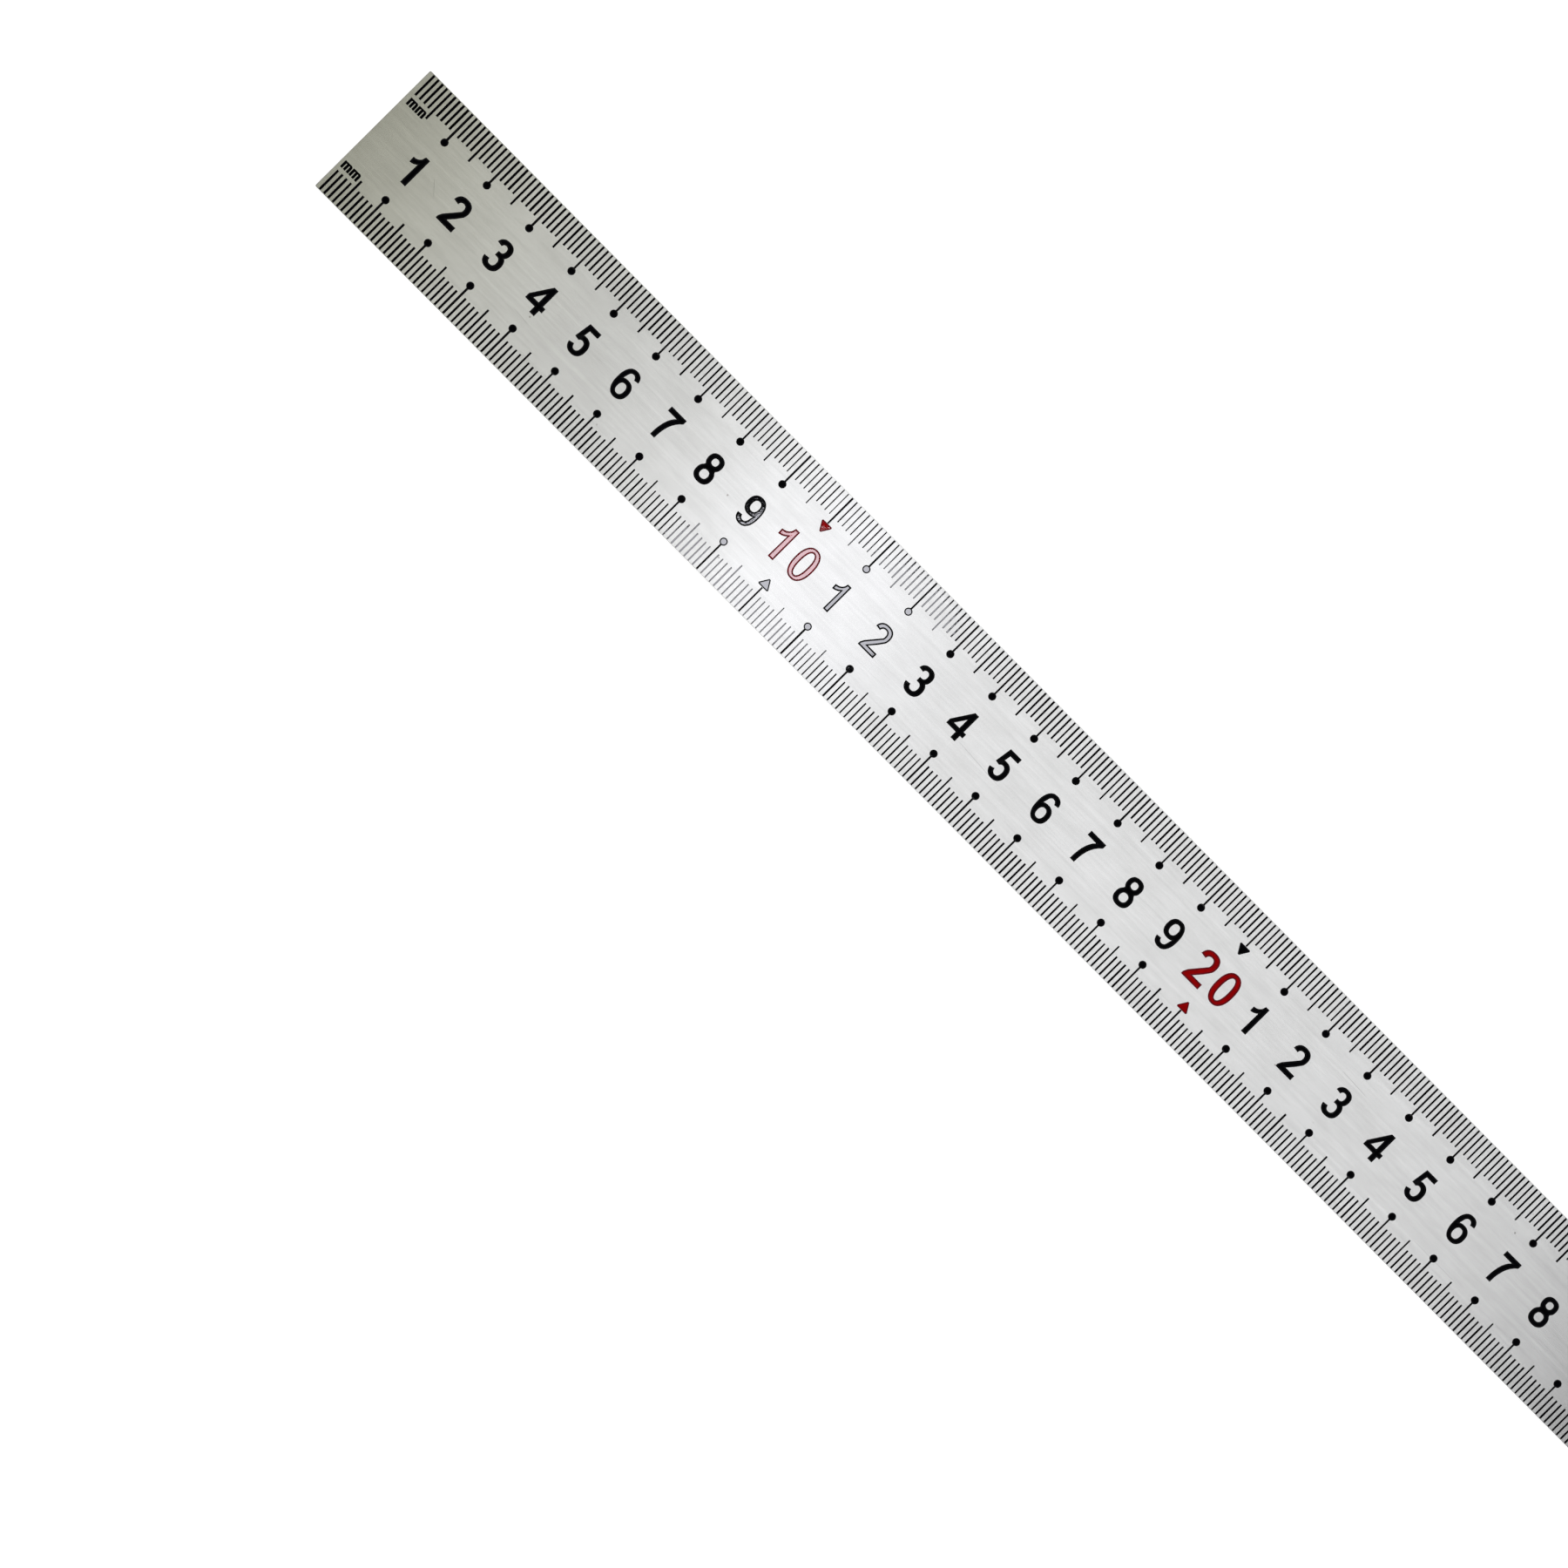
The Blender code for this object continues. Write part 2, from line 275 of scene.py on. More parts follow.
def zero():
    return [oval((0.305, 0.5), (0.305, 0.5)), oval((0.305, 0.5), (0.133, 0.365))[::-1]]


def one():
    stem = [(0.24, 0.0), (0.415, 0.0), (0.415, 1.0), (0.275, 1.0)]
    flag_top = arc((-0.02, 1.06), (0.30, 0.30), -30, -86)
    flag_bottom = arc((-0.05, 1.0), (0.404, 0.404), -83, -44.5)
    return [stem + flag_top + flag_bottom]


def two():
    base = [(0.0, 0.0), (0.605, 0.0), (0.605, 0.165), (0.25, 0.165), (0.43, 0.375)]
    outer = arc((0.30, 0.715), (0.295, 0.285), -38, 175)
    inner = arc((0.30, 0.70), (0.125, 0.145), 172, -28)
    return [base + outer + inner + [(0.06, 0.20), (0.0, 0.08)]]


def three():
    outer = arc((0.295, 0.30), (0.30, 0.30), 188, 405) + arc((0.285, 0.74), (0.275, 0.26), -45, 172)
    inner_top = arc((0.285, 0.73), (0.108, 0.13), 168, -75)
    inner_bottom = arc((0.295, 0.30), (0.13, 0.155), 88, -170)
    return [outer + inner_top + [(0.225, 0.60), (0.225, 0.455)] + inner_bottom]


def four():
    bar_low = 0.215
    bar_high = 0.37
    stem_left = 0.385
    stem_right = 0.56
    outer = [(stem_left, 0.0), (stem_right, 0.0), (stem_right, bar_low), (0.66, bar_low), (0.66, bar_high),
             (stem_right, bar_high), (stem_right, 1.0), (0.41, 1.0), (0.0, bar_high), (0.0, bar_low),
             (stem_left, bar_low)]
    return [outer, [(stem_left, bar_high), (0.165, bar_high), (stem_left, 0.70)]]


def five():
    inner = arc((0.285, 0.32), (0.122, 0.175), 135, -168)
    outer = arc((0.285, 0.325), (0.29, 0.325), 193, 466)
    top = [(0.215, 0.645), (0.245, 0.84), (0.55, 0.84), (0.55, 1.0)]
    return [[(0.11, 1.0), (0.03, 0.46), (0.175, 0.435)] + inner + outer + top]


def six():
    crown = arc((0.315, 0.735), (0.262, 0.265), 5, 90)
    back = arc((0.315, 0.5), (0.315, 0.5), 90, 270)[1:]
    bowl = arc((0.315, 0.315), (0.292, 0.315), 270, 480)[1:]
    throat = arc((0.31, 0.67), (0.125, 0.185), 165, 22)
    return [crown + back + bowl + throat, oval((0.315, 0.315), (0.132, 0.178))[::-1]]


def seven():
    left = arc((0.61, 0.0), (0.5, 0.92), 117, 180)
    right = arc((1.065, 0.0), (0.79, 1.0), 180, 122.5)
    return [[(0.0, 1.0), (0.0, 0.835)] + left + right + [(0.605, 1.0)]]


def eight():
    outer = arc((0.295, 0.28), (0.295, 0.28), 132, 408) + arc((0.295, 0.745), (0.265, 0.255), -48, 228)
    return [outer, oval((0.295, 0.29), (0.135, 0.14))[::-1], oval((0.295, 0.75), (0.108, 0.112))[::-1]]


def nine():
    width = 0.607
    return [[(width - x, 1.0 - y) for x, y in loop] for loop in six()]


def letter_i():
    return [box(0.0, 0.0, 0.2, 1.0)]


def letter_n():
    return [[(0.0, 0.0), (0.19, 0.0), (0.19, 0.66), (0.60, 0.0), (0.80, 0.0), (0.80, 1.0), (0.61, 1.0),
             (0.61, 0.35), (0.21, 1.0), (0.0, 1.0)]]


def letter_c():
    outer = arc((0.46, 0.5), (0.46, 0.5), 38, 322)
    inner = arc((0.46, 0.5), (0.27, 0.335), -42, -318)
    return [outer + inner]


def letter_h():
    return [[(0.0, 0.0), (0.2, 0.0), (0.2, 0.42), (0.66, 0.42), (0.66, 0.0), (0.86, 0.0), (0.86, 1.0),
             (0.66, 1.0), (0.66, 0.59), (0.2, 0.59), (0.2, 1.0), (0.0, 1.0)]]


def letter_m():
    """Lower case, two arches from the left stem."""
    stem = 0.34
    pitch = 0.465
    shoulder = 0.68
    half_gap = (pitch - stem) / 2
    outline = [(0.0, 0.0)]
    for index in range(2):
        left = index * pitch + stem
        outline += [(left, 0.0), (left, shoulder)]
        outline += arc((left + half_gap, shoulder), (half_gap, 0.11), 180, 0, roundness=1.0, step=45)[1:-1]
        outline += [(left + 2 * half_gap, shoulder), (left + 2 * half_gap, 0.0)]
    right = 2 * pitch + stem
    outline += [(right, 0.0), (right, shoulder)]
    outline += arc((right - 0.24, shoulder), (0.24, 0.32), 0, 90, roundness=0.9, step=30)[1:]
    outline += [(0.0, 1.0)]
    return [outline]


DIGITS = (zero, one, two, three, four, five, six, seven, eight, nine)
INCH_LETTERS = (letter_i, letter_n, letter_c, letter_h)


def moved(loops, scale, x, y):
    return [[(x + scale * px, y + scale * py) for px, py in loop] for loop in loops]


def width_of(loops):
    across = [x for loop in loops for x, _ in loop]
    return max(across) - min(across)


def inset(loop, margin):
    """The loop with each side moved inward by the margin, or out of the hole on a clockwise loop."""
    points = []
    for index, corner in enumerate(loop):
        here = Vector(corner)
        before = (here - Vector(loop[index - 1])).normalized()
        after = (Vector(loop[(index + 1) % len(loop)]) - here).normalized()
        normal = Vector((before.y + after.y, -before.x - after.x)).normalized()
        # A sharp corner moves by no more than twice the margin.
        reach = max(0.5, normal.dot(Vector((before.y, -before.x))))
        points.append(tuple(here - normal * (margin / reach)))
    return points


def softened(loop, cut):
    """The loop with each corner cut off this far along both of its sides."""
    points = []
    for index, corner in enumerate(loop):
        here = Vector(corner)
        for beyond in (Vector(loop[index - 1]), Vector(loop[(index + 1) % len(loop)])):
            points.append(tuple(here + (beyond - here).normalized() * cut))
    return points


# The plans of the two faces ---------------------------------------------------------------


class Plan:
    """What is etched in one face. Each mark belongs to a piece, and a piece's marks may overlap."""

    def __init__(self, width, length):
        self.edge = width / 2
        self.length = length
        self.marks = []
        self.pieces = {}

    def add(self, piece, slot, loops, rim=0.0):
        """Adds a mark whose enamel has a sloping rim of this width inside its outline."""
        self.pieces.setdefault(piece, slot)
        self.marks.append((piece, loops, rim))


def drift(along):
    """How far the metric print has wandered towards the lower edge."""
    return -(PRINT_DRIFT_START + PRINT_DRIFT_PER_MM * along)


def zero_end_extra(along):
    """How much wider the metric print's lines and strokes are towards the zero end."""
    return ZERO_END_EXTRA * max(0.0, 1.0 - along / ZERO_END_REACH)


def metric_place(millimetre, side):
    """Where a metric line is along the blade. The upper scale is printed slightly further along."""
    return millimetre + (UPPER_SCALE_SHIFT if side > 0 else 0.0)


def metric_line(plan, millimetre, side, chance):
    """One line, with its dot on whole centimetres."""
    edge = plan.edge
    along = metric_place(millimetre, side)
    wander = side * drift(millimetre)
    start = edge - LINE_START
    if millimetre % 10:
        end = edge - (MM_LINE_END if millimetre % 5 else HALF_LINE_END)
    else:
        end = edge - DECADE_MARK_BASE + DECADE_LINE_GAP
    half = (LINE_WIDTH + zero_end_extra(millimetre)) / 2
    if millimetre % 10:
        half -= THINNING / 2 * max(0.0, 1.0 - abs(millimetre - THINNEST_LINE) / THINNING_REACH)
    half += chance.uniform(-LINE_WIDTH_SPREAD, LINE_WIDTH_SPREAD) / 2
    narrow = half - chance.uniform(0, LINE_TAPER) / 2
    left = along - half
    right = along + half
    if millimetre % 10 == 0 and millimetre % 100:
        cut = degrees(asin(half / DOT_RADIUS))
        centre = (along, edge - DOT_CENTRE + wander)
        dot = arc(centre, (DOT_RADIUS, DOT_RADIUS), 90 + cut, 450 - cut, roundness=1.0, step=DOT_STEP)
        outline = dot + [(right, start), (left, start)]
    else:
        end += wander
        if millimetre % 10:
            end += chance.uniform(-LINE_LENGTH_SPREAD, LINE_LENGTH_SPREAD)
        outline = [(along - narrow, end), (along + narrow, end), (right, start), (left, start)]
    return [[(x, side * y) for x, y in outline][::side]]


def decade_mark(plan, line, side):
    """A triangle past the end of the line, which points to the centreline."""
    base = plan.edge - DECADE_MARK_BASE + side * drift(line)
    tip = plan.edge - DECADE_MARK_TIP + side * drift(line)
    half = DECADE_MARK_WIDTH / 2
    along = metric_place(line, side)
    corners = [(along - half, side * base), (along + half, side * base), (along, side * tip)]
    return [softened(corners[::-side], DECADE_MARK_CORNER)]


def add_digit(plan, piece, slot, digit, height, centre, foot, growth=0.0):
    """Adds one digit round this centre, its strokes wider by the growth on each side."""
    loops = DIGITS[digit]()
    left = centre - height * width_of(loops) / 2 - height * min(x for x, _ in loops[0])
    outlines = [inset(loop, -growth) for loop in moved(loops, height, left, foot)]
    plan.add(piece, slot, outlines, WIDE_RIM)


def add_metric_numeral(plan, centimetre):
    line = centimetre * 10
    name = f"metric_numeral_{centimetre:02d}"
    digit = centimetre % 10
    growth = GLYPH_GROWTH + zero_end_extra(line) / 2
    if digit:
        shift = ONE_SHIFT if digit == 1 else NUMERAL_SHIFT
        foot = drift(line) - NUMERAL_HEIGHT / 2
        add_digit(plan, name, "black_enamel", digit, NUMERAL_HEIGHT, line + shift, foot, growth)
        return
    tens = centimetre // 10
    tens_shift = TENS_ONE_SHIFT if tens == 1 else TENS_SHIFT
    units_shift = UNITS_AFTER_ONE_SHIFT if tens == 1 else UNITS_SHIFT
    foot = drift(line) - DECADE_NUMERAL_HEIGHT / 2
    height = DECADE_NUMERAL_HEIGHT
    add_digit(plan, name + "_tens", "red_enamel", tens, height, line + tens_shift, foot, growth)
    add_digit(plan, name + "_units", "red_enamel", 0, height, line + units_shift, foot, growth)


def add_unit_labels(plan):
    """The letters mm beside the zero end of each metric scale."""
    pitch = UNIT_LABEL_HEIGHT * width_of(letter_m()) + UNIT_LABEL_GAP
    feet = (plan.edge - UNIT_LABEL_FOOT, UNIT_LABEL_FOOT - UNIT_LABEL_HEIGHT - plan.edge)
    for (name, start), foot in zip(UNIT_LABEL_STARTS, feet):
        for place in range(2):
            loops = moved(letter_m(), UNIT_LABEL_HEIGHT, start + place * pitch, foot + drift(0))
            plan.add(f"metric_unit_label_{name}", "black_enamel", loops)


def metric_plan(width, length):
    plan = Plan(width, length)
    chance = Random(PRINT_SEED)
    for name, side in (("upper", 1), ("lower", -1)):
        for millimetre in range(1, LAST_MILLIMETRE + 1):
            loops = metric_line(plan, millimetre, side, chance)
            rim = LINE_RIM if millimetre % 10 else DOT_RIM
            plan.add(f"metric_scale_{name}", "black_enamel", loops, rim)
    for centimetre in range(1, LAST_MILLIMETRE // 10 + 1):
        add_metric_numeral(plan, centimetre)
        if centimetre % 10 == 0:
            for name, side, red in (("upper", 1, centimetre == 10), ("lower", -1, centimetre != 10)):
                slot = "red_enamel" if red else "black_enamel"
                loops = decade_mark(plan, centimetre * 10, side)
                plan.add(f"decade_mark_{centimetre}_{name}", slot, loops, DOT_RIM)
    add_unit_labels(plan)
    return plan


def inch_line(plan, along, end, side, line_width):
    high = plan.edge - LINE_START
    low = plan.edge - end
    low, high = sorted((side * low, side * high))
    return [box(along - line_width / 2, low, along + line_width / 2, high)]


def inch_rail(plan, end_inch, depth, side):
    middle = side * (plan.edge - depth)
    end = end_inch * INCH + INCH_LINE_WIDTH / 2
    return [box(LINE_START, middle - RAIL_WIDTH / 2, end, middle + RAIL_WIDTH / 2)]


def decimal_end(tick):
    """Where a line at this many hundredths of an inch ends, or None where there is no line."""
    if tick % 100 == 0:
        return DECIMAL_INCH_END
    if tick % 50 == 0:
        return DECIMAL_HALF_END
    if tick % 10 == 0:
        return DECIMAL_RAIL
    if tick < FINEST_START * 100:
        return DECIMAL_RAIL_FINE if tick % 5 == 0 else None
    if tick < FINE_END * 100:
        return DECIMAL_FINEST_END if tick % 2 == 0 else None
    return None


def fraction_end(tick):
    """Where a line at this many sixty-fourths of an inch ends, or None where there is no line."""
    for step, end in ((64, FRACTION_INCH_END), (32, FRACTION_HALF_END), (16, FRACTION_QUARTER_END),
                      (8, FRACTION_RAIL), (4, FRACTION_RAIL_INNER)):
        if tick % step == 0:
            return end
    if tick < FINE_END * 64 and tick % 2 == 0:
        return FRACTION_RAIL_FINE
    if FINEST_START * 64 < tick < FINE_END * 64:
        return FRACTION_FINEST_END
    return None


def add_inch_scale(plan, piece, side, rails, per_inch, end_of):
    for end_inch, depth in rails:
        plan.add(piece, "black_enamel", inch_rail(plan, end_inch, depth, side))
    for tick in range(1, LAST_INCH * per_inch + 1):
        end = end_of(tick)
        if end is None:
            continue
        finest = FINEST_START * per_inch < tick < FINE_END * per_inch
        line_width = FINE_LINE_WIDTH if finest else INCH_LINE_WIDTH
        loops = inch_line(plan, tick * INCH / per_inch, end, side, line_width)
        plan.add(piece, "black_enamel", loops)


def add_inch_numeral(plan, inch):
    characters = str(inch)
    endings = ("_tens", "_units") if len(characters) == 2 else ("",)
    height = INCH_NUMERAL_HEIGHT
    pitch = height * INCH_DIGIT_PITCH
    for place, character in enumerate(characters):
        centre = inch * INCH + pitch * (place - (len(characters) - 1) / 2)
        piece = f"inch_numeral_{inch:02d}" + endings[place]
        add_digit(plan, piece, "black_enamel", int(character), height, centre, -height / 2)


def inch_plan(width, length):
    plan = Plan(width, length)
    decimal_rails = ((FINE_END, DECIMAL_RAIL_FINE), (LAST_INCH, DECIMAL_RAIL))
    fraction_rails = ((FINE_END, FRACTION_RAIL_FINE), (LAST_INCH, FRACTION_RAIL_INNER),
                      (LAST_INCH, FRACTION_RAIL))
    add_inch_scale(plan, "inch_scale_decimal", 1, decimal_rails, 100, decimal_end)
    add_inch_scale(plan, "inch_scale_fraction", -1, fraction_rails, 64, fraction_end)
    for inch in range(1, LAST_INCH + 1):
        add_inch_numeral(plan, inch)
    for text, side, start, depth in DIVISION_LABELS:
        foot = plan.edge - depth if side > 0 else depth - DIVISION_LABEL_HEIGHT - plan.edge
        for place, character in enumerate(text):
            left = start + place * DIVISION_LABEL_PITCH
            loops = moved(DIGITS[int(character)](), DIVISION_LABEL_HEIGHT, left, foot)
            plan.add(f"inch_division_label_{text}", "black_enamel", loops)
    for letter, start in zip(INCH_LETTERS, INCH_LABEL_STARTS):
        loops = moved(letter(), INCH_LABEL_HEIGHT, start, INCH_LABEL_FOOT)
        plan.add("inch_unit_label", "black_enamel", loops)
    return plan


# Meshes -----------------------------------------------------------------------------------


def blade_outline(length, width, margin):
    """The blade's outline, this far inside its true edge, anticlockwise from the tail's foot."""
    half = width / 2
    bow = (half - margin, half - margin)
    tail = arc((length - half, 0), bow, -90, 90, roundness=1.0, step=180 / TAIL_STEPS)
    radius = ZERO_CORNER_RADIUS
    corner = (radius - margin, radius - margin)
    step = 90 / CORNER_STEPS
    upper = arc((radius, half - radius), corner, 90, 180, roundness=1.0, step=step)
    lower = arc((radius, radius - half), corner, 180, 270, roundness=1.0, step=step)
    return tail + upper + lower


def hole_outline(length, radius):
    centre = (length - HANG_HOLE_FROM_TAIL, 0)
    return arc(centre, (radius, radius), 0, 360, roundness=1.0, step=360 / HANG_HOLE_SIDES)[:-1]


class Tiling:
    """A face of the blade cut into triangles along its plan's outlines."""

    def __init__(self, plan, outline, hole):
        self.plan = plan
        points = []
        faces = []
        edges = []
        owners = []

        def add_loop(loop, owner):
            first = len(points)
            points.extend(loop)
            ring = list(range(first, len(points)))
            if owner is None:
                edges.extend(zip(ring, ring[1:] + ring[:1]))
            else:
                faces.append(ring)
                owners.append(owner)

        add_loop(outline, ("blade", 1))
        add_loop(hole, ("hole", 1))
        for piece, loops, rim in plan.marks:
            for place, loop in enumerate(loops):
                if place:
                    add_loop(loop[::-1], (piece, -1))
                else:
                    add_loop(loop, (piece, 1))
                if rim:
                    add_loop(inset(loop, rim), None)
        corners = [Vector(point) for point in points]
        made = delaunay_2d_cdt(corners, edges, faces, INSIDE_ONLY, SAME_CORNER, True)
        places, _, self.triangles, place_sources, _, triangle_sources = made
        self.points = np.array([tuple(place) for place in places])
        self.owner = []
        for sources in triangle_sources:
            found = None
            holes = set()
            for source in sources:
                name, sign = owners[source]
                if sign < 0:
                    holes.add(name)
                elif name != "blade":
                    found = name
            self.owner.append(None if found in holes else found)
        where = {}
        for index, sources in enumerate(place_sources):
            for source in sources:
                where[source] = index
        self.rim = [where[index] for index in range(len(outline))]
        self.hole_rim = [where[len(outline) + index] for index in range(len(hole))]
        self.neighbours = {}
        for index, corners in enumerate(self.triangles):
            for place, corner in enumerate(corners):
                self.neighbours[(corners[place - 1], corner)] = index


class Builder:
    """Collects vertices and faces of one mesh, in mm from the zero end, and makes its object."""

    def __init__(self, length):
        self.middle = length / 2
        self.vertices = []
        self.faces = []
        self.smooth = []
        self.finishes = []

    def vertex(self, x, y, z):
        self.vertices.append(((x - self.middle) * MM, y * MM, z * MM))
        return len(self.vertices) - 1

    def face(self, corners, smooth=False, finish=0):
        self.faces.append(corners)
        self.smooth.append(smooth)
        self.finishes.append(finish)

    def strip(self, first, second):
        """Quads between two closed rings, whose outside is on the right of the first ring."""
        for index in range(len(first)):
            self.face((first[index], first[index - 1], second[index - 1], second[index]), smooth=True)

    def make(self, name):
        data = bpy.data.meshes.new(name)
        data.from_pydata(self.vertices, [], self.faces)
        data.polygons.foreach_set("use_smooth", self.smooth)
        data.polygons.foreach_set("material_index", self.finishes)
        data.validate()
        data.update()
        made = bpy.data.objects.new(name, data)
        bpy.context.scene.collection.objects.link(made)
        return made


def to_outlines(points, loops):
    """How far each point is from the nearest side of any loop."""
    starts = np.array([corner for loop in loops for corner in loop])
    ends = np.array([corner for loop in loops for corner in loop[1:] + loop[:1]])
    along = ends - starts
    lengths = np.maximum((along ** 2).sum(axis=1), 1e-12)
    nearest = np.full(len(points), np.inf)
    for start, step, length in zip(starts, along, lengths):
        share = np.clip(((points - start) @ step) / length, 0, 1)
        gap = np.hypot(*(points - start - share[:, None] * step).T)
        nearest = np.minimum(nearest, gap)
    return nearest


def dips(tiling):
    """How far each point's enamel lies below its outline, and which points are on a matte rim."""
    depth = np.zeros(len(tiling.points))
    on_rim = np.zeros(len(tiling.points), bool)
    order = np.argsort(tiling.points[:, 0])
    across = tiling.points[order, 0]
    for _, loops, rim in tiling.plan.marks:
        if not rim:
            continue
        reach = [x for x, _ in loops[0]]
        low, high = np.searchsorted(across, (min(reach) - NEAR_OUTLINE, max(reach) + NEAR_OUTLINE))
        inside = order[low:high]
        rows = [y for _, y in loops[0]]
        heights = tiling.points[inside, 1]
        inside = inside[(heights > min(rows) - NEAR_OUTLINE) & (heights < max(rows) + NEAR_OUTLINE)]
        gap = to_outlines(tiling.points[inside], loops)
        depth[inside] = np.minimum(gap, rim) * RIM_STEEPNESS
        on_rim[inside] = gap < rim * RIM_SHARE
    return depth, on_rim


def add_fills(tiling, thickness, top):
    """The enamel of each piece, a closed body in its pocket."""
    side = 1 if top else -1
    height = thickness if top else 0.0
    depth, on_rim = dips(tiling)
    by_owner = {}
    for index, name in enumerate(tiling.owner):
        by_owner.setdefault(name, []).append(index)
    borders = {}
    for (start, end), index in tiling.neighbours.items():
        name = tiling.owner[index]
        beyond = tiling.neighbours.get((end, start))
        if beyond is None or tiling.owner[beyond] != name:
            borders.setdefault(name, []).append((start, end))
    pieces = []
    for name, slot in tiling.plan.pieces.items():
        build = Builder(tiling.plan.length)
        upper = {}
        lower = {}
        for index in by_owner[name]:
            for corner in tiling.triangles[index]:
                if corner in upper:
                    continue
                x, y = tiling.points[corner]
                upper[corner] = build.vertex(x, side * y, height - side * (FILL_DROP + depth[corner]))
                lower[corner] = build.vertex(x, side * y, height - side * (POCKET_DEPTH - FILL_FLOOR_GAP))
            corners = tiling.triangles[index][::side]
            finish = int(any(on_rim[corner] for corner in corners))
            build.face([upper[corner] for corner in corners], finish=finish)
            build.face([lower[corner] for corner in corners[::-1]], finish=1)
        for start, end in borders[name]:
            build.face([upper[start], lower[start], lower[end], upper[end]][::side], finish=1)
        piece = build.make("enamel_" + name)
        pieces.append((piece, name, slot))
    return pieces


def add_blade(tilings, length, width, thickness):
    """The steel strip with rounded edges, a hang hole, and the pockets of both faces."""
    build = Builder(length)
    rims = []
    hole_rims = []
    for tiling, side in zip(tilings, (1, -1)):
        height = thickness if side > 0 else 0.0
        surface = {}
        floor = {}
        for index, corners in enumerate(tiling.triangles):
            name = tiling.owner[index]
            if name == "hole":
                continue
            level, deep = (surface, 0.0) if name is None else (floor, POCKET_DEPTH)
            for corner in corners:
                if corner not in level:
                    x, y = tiling.points[corner]
                    level[corner] = build.vertex(x, side * y, height - side * deep)
            build.face([level[corner] for corner in corners[::side]])
        for (start, end), index in tiling.neighbours.items():
            name = tiling.owner[index]
            beyond = tiling.neighbours.get((end, start))
            if name in (None, "hole") or tiling.owner[beyond] is not None:
                continue
            build.face([surface[start], surface[end], floor[end], floor[start]][::side])
        rims.append([surface[corner] for corner in tiling.rim])
        hole_rims.append([surface[corner] for corner in tiling.hole_rim])
    levels = []
    for step in range(1, ROUND_STEPS + 1):
        angle = radians(90 * step / ROUND_STEPS)
        levels.append((EDGE_ROUND * (1 - sin(angle)), EDGE_ROUND * (1 - cos(angle))))
    rings = [rims[0]]
    for margin, drop in levels + levels[::-1]:
        below = len(rings) > ROUND_STEPS
        z = drop if below else thickness - drop
        rings.append([build.vertex(x, y, z) for x, y in blade_outline(length, width, margin)])
    rings.append(mirrored_ring(rims[1], blade_outline(length, width, EDGE_ROUND)))
    for first, second in zip(rings, rings[1:]):
        build.strip(first, second)
    hole = hole_outline(length, HANG_HOLE_RADIUS)
    top = [build.vertex(x, y, thickness - HANG_HOLE_BREAK) for x, y in hole]
    low = [build.vertex(x, y, HANG_HOLE_BREAK) for x, y in hole]
    bottom = mirrored_ring(hole_rims[1], hole)
    for first, second in ((hole_rims[0], top), (top, low), (low, bottom)):
        build.strip(first[::-1], second[::-1])
    return build.make("steel_blade")


def mirrored_ring(ring, outline):
    """A ring of the lower face, reordered to run beside the same outline seen from above."""
    order = []
    places = {(round(x, 4), round(y, 4)): index for index, (x, y) in enumerate(outline)}
    for x, y in outline:
        order.append(ring[places[(round(x, 4), round(-y, 4) + 0.0)]])
    return order


# Materials --------------------------------------------------------------------------------


